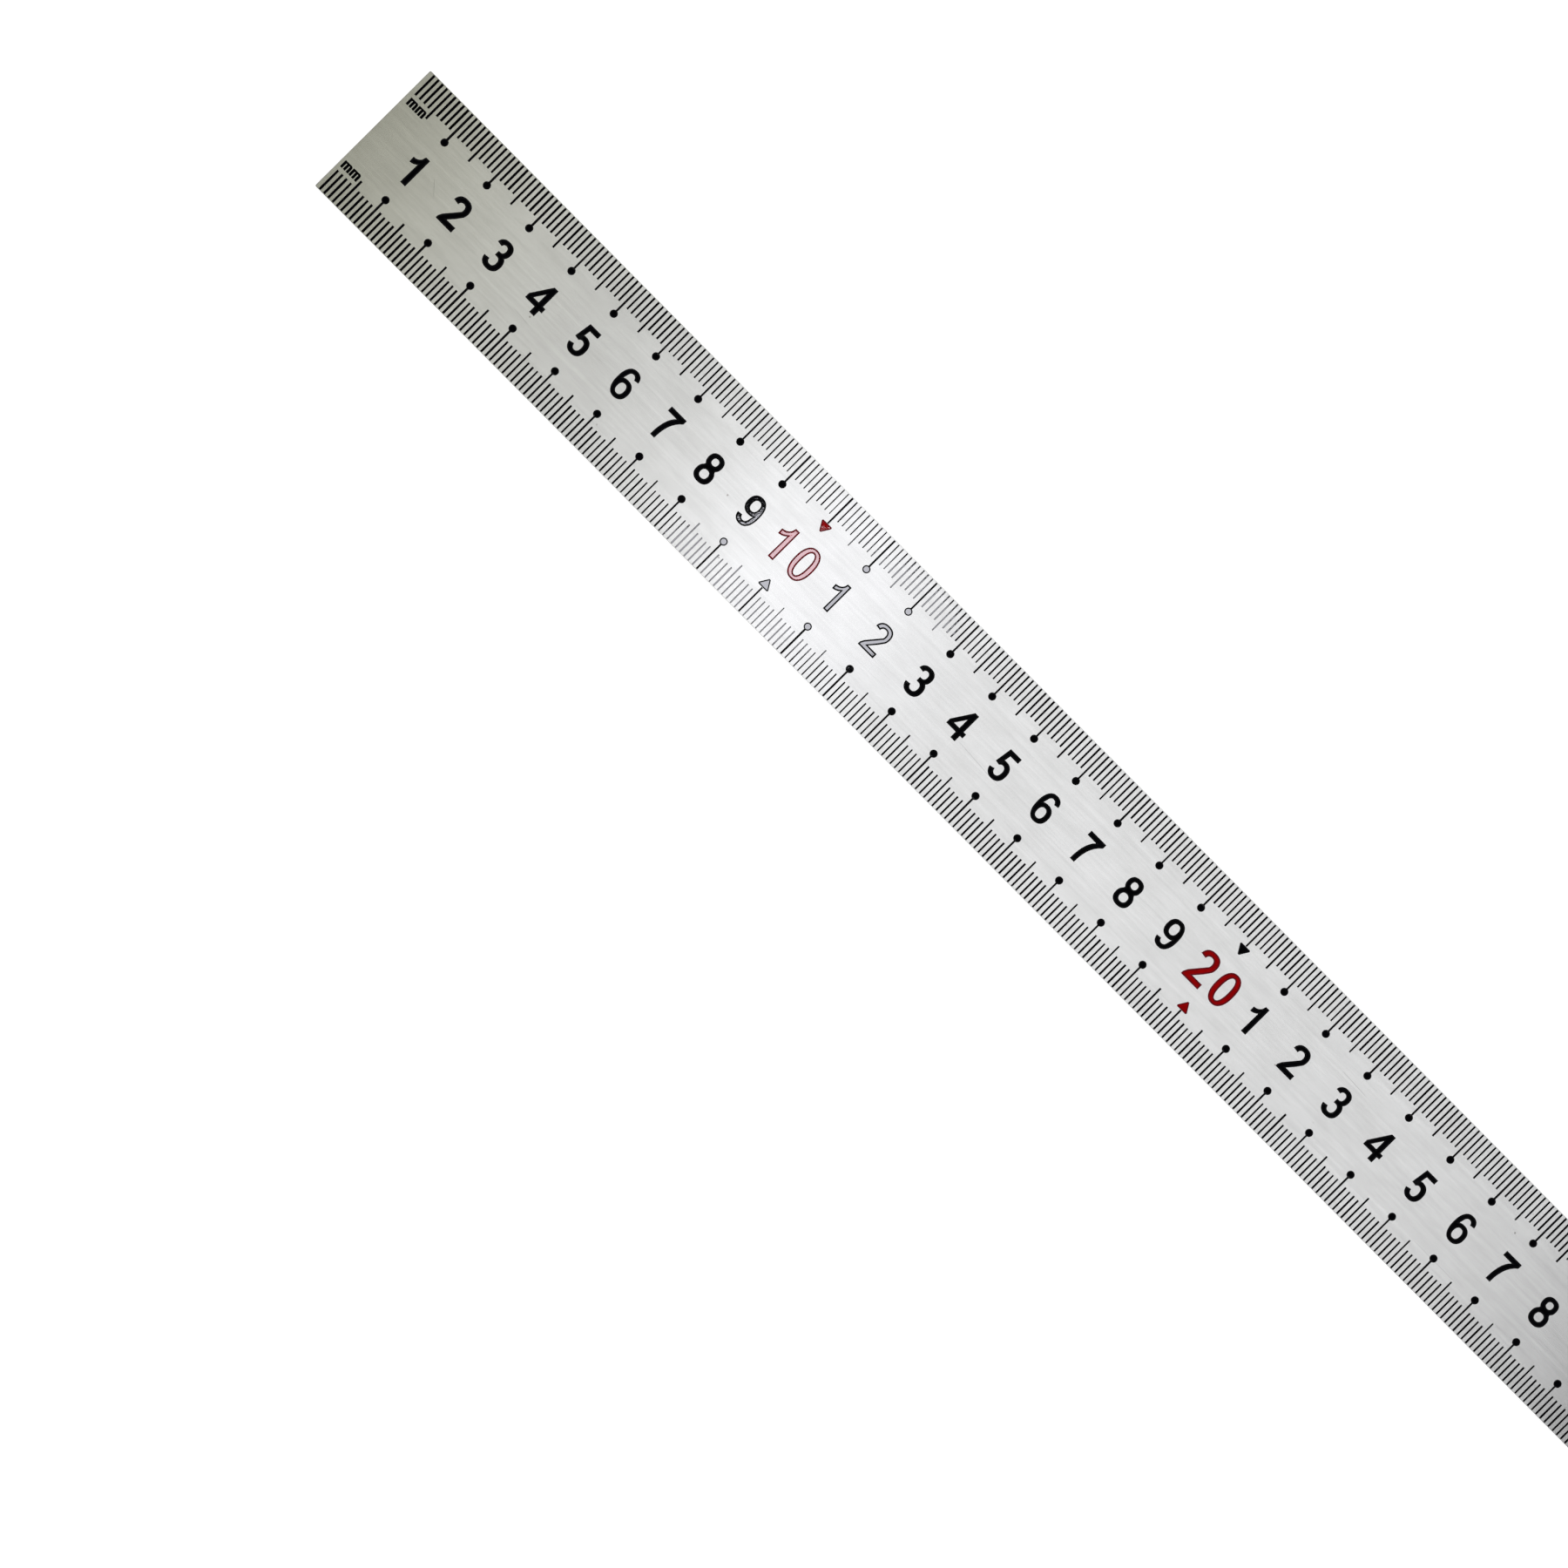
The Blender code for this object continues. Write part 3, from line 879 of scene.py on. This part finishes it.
class Nodes:
    """A node tree, built from short calls. Textures are placed by one texture coordinate."""

    def __init__(self, tree, coordinate):
        self.tree = tree
        self.place = self.node("ShaderNodeTexCoord").outputs[coordinate]

    def node(self, kind, **settings):
        made = self.tree.nodes.new(kind)
        for key, value in settings.items():
            setattr(made, key, value)
        return made

    def link(self, output, target):
        self.tree.links.new(output, target)

    def feed(self, target, value):
        if isinstance(value, bpy.types.NodeSocket):
            self.link(value, target)
        else:
            target.default_value = value

    def scaled(self, scale):
        made = self.node("ShaderNodeVectorMath", operation="MULTIPLY")
        self.link(self.place, made.inputs[0])
        made.inputs[1].default_value = scale
        return made.outputs[0]

    def noise(self, scale, detail=3.0, roughness=0.5):
        made = self.node("ShaderNodeTexNoise")
        self.link(self.scaled(scale), made.inputs["Vector"])
        made.inputs["Scale"].default_value = 1.0
        made.inputs["Detail"].default_value = detail
        made.inputs["Roughness"].default_value = roughness
        return made.outputs["Fac"]

    def ranged(self, value, low, high, new_low=0.0, new_high=1.0, smooth=False):
        made = self.node("ShaderNodeMapRange", interpolation_type="SMOOTHSTEP" if smooth else "LINEAR")
        self.link(value, made.inputs["Value"])
        keys = ("From Min", "From Max", "To Min", "To Max")
        for key, number in zip(keys, (low, high, new_low, new_high)):
            made.inputs[key].default_value = number
        return made.outputs[0]

    def scratch(self, start, end, zero_end):
        """A mask of the fine line between two places on the blade, in mm from the zero end."""
        reach = Vector(end) - Vector(start)
        split = self.node("ShaderNodeSeparateXYZ")
        self.link(self.place, split.inputs[0])
        along = self.math("SUBTRACT", split.outputs["X"], zero_end + start[0] * MM)
        side = self.math("SUBTRACT", split.outputs["Y"], start[1] * MM)
        turned = []
        for first, second in ((reach.x, reach.y), (-reach.y, reach.x)):
            parts = self.math("MULTIPLY", along, first / reach.length)
            turned.append(self.math("ADD", parts, self.math("MULTIPLY", side, second / reach.length)))
        half = reach.length * MM / 2
        beyond = self.math("ABSOLUTE", self.math("SUBTRACT", turned[0], half))
        ends = self.ranged(beyond, half * SCRATCH_FADE_START, half, 1.0, 0.0)
        gap = self.math("ABSOLUTE", turned[1])
        line = self.ranged(gap, SCRATCH_CORE * MM, SCRATCH_EDGE * MM, SCRATCH_SHARE, 0.0)
        return self.math("MULTIPLY", ends, line)

    def math(self, operation, first, second=0.0):
        made = self.node("ShaderNodeMath", operation=operation)
        self.feed(made.inputs[0], first)
        self.feed(made.inputs[1], second)
        return made.outputs[0]

    def mixed(self, share, first, second, blend="MIX"):
        """Two colours mixed. They are inputs 6 and 7 of a Mix node, and the result is output 2."""
        made = self.node("ShaderNodeMix", data_type="RGBA", blend_type=blend)
        self.feed(made.inputs[0], share)
        self.feed(made.inputs[6], first)
        self.feed(made.inputs[7], second)
        return made.outputs[2]


class Finish(Nodes):
    """A material of one Principled shader."""

    def __init__(self, name):
        self.material = bpy.data.materials.new(name)
        self.material.use_nodes = True
        super().__init__(self.material.node_tree, "Object")
        self.shader = self.tree.nodes["Principled BSDF"]

    def set(self, name, value):
        self.feed(self.shader.inputs[name], value)

    def bump(self, height, distance):
        made = self.node("ShaderNodeBump")
        made.inputs["Distance"].default_value = distance * MM
        self.link(height, made.inputs["Height"])
        self.set("Normal", made.outputs["Normal"])


def grey(value):
    return (value, value, value, 1.0)


def brushed_steel(zero_end):
    """Satin steel with its grain along the blade, whose zero end is at this X."""
    steel = Finish("brushed_steel")
    fine = steel.noise(FINE_GRAIN_CELLS, detail=1.0)
    long = steel.noise(LONG_GRAIN_CELLS, detail=2.0)
    cloud = steel.noise(CLOUD_CELLS, detail=5.0, roughness=0.6)
    streak = steel.noise(STREAK_CELLS, detail=1.0)
    fine_grain = steel.ranged(fine, 0.25, 0.75, -FINE_GRAIN_SHARE, FINE_GRAIN_SHARE)
    long_grain = steel.ranged(long, 0.3, 0.7, -LONG_GRAIN_SHARE, LONG_GRAIN_SHARE)
    grain = steel.math("ADD", fine_grain, long_grain)
    colour = steel.mixed(steel.ranged(cloud, 0.3, 0.7), STEEL, PALE_STEEL)
    colour = steel.mixed(1.0, colour, steel.ranged(grain, -1.0, 1.0, *GRAIN_SHADES), "MULTIPLY")
    shade = steel.ranged(streak, *STREAK_LEVELS, 1.0, STREAK_SHADE)
    colour = steel.mixed(1.0, colour, shade, "MULTIPLY")
    for start, end in SCRATCHES:
        colour = steel.mixed(steel.scratch(start, end, zero_end), colour, SCRATCH_COLOUR)
    speck = steel.node("ShaderNodeTexVoronoi")
    steel.link(steel.scaled(SPECK_CELLS), speck.inputs["Vector"])
    speck.inputs["Scale"].default_value = 1.0
    speck_share = steel.ranged(speck.outputs["Distance"], *SPECK_RADII, SPECK_SHARE, 0.0)
    colour = steel.mixed(speck_share, colour, SPECK_COLOUR)
    steel.set("Base Color", colour)
    steel.set("Metallic", 1.0)
    steel.set("Roughness", steel.ranged(grain, -1.0, 1.0, *GRAIN_ROUGHNESS))
    steel.set("Anisotropic", 1.0)
    tangent = steel.node("ShaderNodeTangent", direction_type="RADIAL", axis="X")
    steel.set("Tangent", tangent.outputs[0])
    steel.bump(grain, GRAIN_BUMP)
    return steel.material


def enamel(name, colours, roughness, specular):
    """Enamel that varies a little between two colours and between two roughnesses."""
    paint = Finish(name)
    cloud = paint.noise(ENAMEL_CELLS)
    paint.set("Base Color", paint.mixed(paint.ranged(cloud, 0.35, 0.65), *colours))
    paint.set("Roughness", paint.ranged(cloud, 0.3, 0.7, *roughness))
    paint.set("Specular IOR Level", specular)
    return paint


def enamel_pair(name, colours, wall_colours):
    """Glossy enamel, and the same enamel where it thins out on its pocket's wall and is matte. Darker wall
    colours there are partly painted shade along the pocket's edge.
    """
    middle = enamel(name, colours, GLOSSY, GLOSSY_SPECULAR)
    middle.bump(middle.noise(RIPPLE_CELLS, detail=2.0), ENAMEL_BUMP)
    wall = enamel(name + "_wall", wall_colours, MATTE, MATTE_SPECULAR)
    return [middle.material, wall.material]


def floor_material():
    paper = Finish("floor_paper")
    paper.set("Base Color", grey(FLOOR_WHITE))
    paper.set("Roughness", 0.9)
    paper.set("Specular IOR Level", 0.0)
    paper.set("Emission Color", grey(1.0))
    paper.set("Emission Strength", FLOOR_GLOW)
    return paper.material


# The studio -------------------------------------------------------------------------------


def add_floor():
    data = bpy.data.meshes.new("floor")
    half = FLOOR_HALF_WIDTH
    corners = [(-half, -half, 0), (half, -half, 0), (half, half, 0), (-half, half, 0)]
    data.from_pydata(corners, [], [(0, 1, 2, 3)])
    floor = bpy.data.objects.new("floor", data)
    bpy.context.scene.collection.objects.link(floor)
    data.materials.append(floor_material())


def add_camera(height):
    tilt = Euler((0.0, radians(CAMERA_TILT), 0.0)).to_matrix()
    turn = tilt @ Euler((0.0, 0.0, radians(CAMERA_ROLL))).to_matrix()
    data = bpy.data.cameras.new("camera")
    data.lens = LENS
    data.sensor_width = SENSOR
    data.clip_start = 0.01
    data.clip_end = 50.0
    camera = bpy.data.objects.new("camera", data)
    bpy.context.scene.collection.objects.link(camera)
    aim = Vector((AIM[0] * MM, AIM[1] * MM, height * MM))
    camera.matrix_world = Matrix.Translation(aim + turn.col[2] * CAMERA_DISTANCE * MM) @ turn.to_4x4()
    bpy.context.scene.camera = camera


def add_lamp(centre, size, turn):
    """A small soft lamp beside the camera."""
    data = bpy.data.lights.new("camera_lamp", "AREA")
    data.shape = "ELLIPSE"
    data.size = size[0] * MM
    data.size_y = size[1] * MM
    # An area lamp's power is pi times its radiance and its area, here an ellipse's.
    data.energy = LAMP_RADIANCE * pi * (pi / 4) * data.size * data.size_y
    data.color = LAMP_COLOUR
    lamp = bpy.data.objects.new("camera_lamp", data)
    bpy.context.scene.collection.objects.link(lamp)
    lamp.location = (centre[0] * MM, centre[1] * MM, CAMERA_DISTANCE * MM)
    lamp.rotation_euler = (0.0, 0.0, radians(turn))
    lamp.visible_camera = False


def add_world():
    """Soft light from all round, with bright panels on both sides of a dark strip overhead."""
    world = bpy.data.worlds.new("studio")
    bpy.context.scene.world = world
    world.use_nodes = True
    sky = Nodes(world.node_tree, "Generated")
    split = sky.node("ShaderNodeSeparateXYZ")
    sky.link(sky.place, split.inputs[0])
    # The middle of the ramp, at 0.5, is straight overhead.
    ramp = sky.node("ShaderNodeValToRGB")
    sky.link(sky.math("ADD", split.outputs["X"], 0.5), ramp.inputs[0])
    elements = ramp.color_ramp.elements
    while len(elements) < len(PANEL_STOPS):
        elements.new(0.5)
    for element, (position, brightness, blue) in zip(elements, PANEL_STOPS):
        element.position = position + 0.5
        element.color = (brightness, brightness, brightness * blue, 1.0)
    sideways = sky.math("ABSOLUTE", sky.math("SUBTRACT", split.outputs["Y"], STRIP_MIDDLE))
    strip = sky.ranged(sideways, *STRIP_HALF_WIDTHS, STRIP_RADIANCE, PANEL_RADIANCE, smooth=True)
    overhead = sky.node("ShaderNodeVectorMath", operation="SCALE")
    sky.link(ramp.outputs["Color"], overhead.inputs[0])
    sky.link(strip, overhead.inputs["Scale"])
    lower = sky.ranged(split.outputs["Z"], *PANEL_HEIGHTS, 1.0, 0.0, smooth=True)
    around = sky.ranged(split.outputs["Z"], *HORIZON_HEIGHTS, HORIZON_RADIANCE, RAISED_RADIANCE)
    colour = sky.mixed(lower, overhead.outputs[0], around)
    sky.link(colour, sky.tree.nodes["Background"].inputs["Color"])


def main():
    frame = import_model()
    blade_low, blade_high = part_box("blade")
    length, width, thickness = ((high - low) / MM for low, high in zip(blade_low, blade_high))

    finishes = {"blade_steel": [brushed_steel(blade_low[0])]}
    finishes["black_enamel"] = enamel_pair("black_enamel", BLACK, BLACK)
    # The red enamel's wall and rim colours are darker: partly thinner enamel, partly painted shade along
    # the pocket's edge.
    finishes["red_enamel"] = enamel_pair("red_enamel", RED, SHADED_WALL_RED)
    outline = blade_outline(length, width, EDGE_ROUND)
    hole = hole_outline(length, HANG_HOLE_RADIUS + HANG_HOLE_BREAK)
    plans = (metric_plan(width, length), inch_plan(width, length))
    tilings = [Tiling(plan, outline, hole) for plan in plans]
    blade = add_blade(tilings, length, width, thickness)
    shown = [(blade, "blade", "blade_steel")]
    for tiling, top in zip(tilings, (True, False)):
        shown += add_fills(tiling, thickness, top)
    for piece, name, slot in shown:
        for material in finishes[slot]:
            piece.data.materials.append(material)
        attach(piece, "root")
        if name in frame["nodes"]:
            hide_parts(name)

    add_floor()
    add_camera(thickness)
    for centre, size, turn in LAMPS:
        add_lamp(centre, size, turn)
    add_world()
    bpy.context.scene.view_settings.view_transform = "Standard"


main()
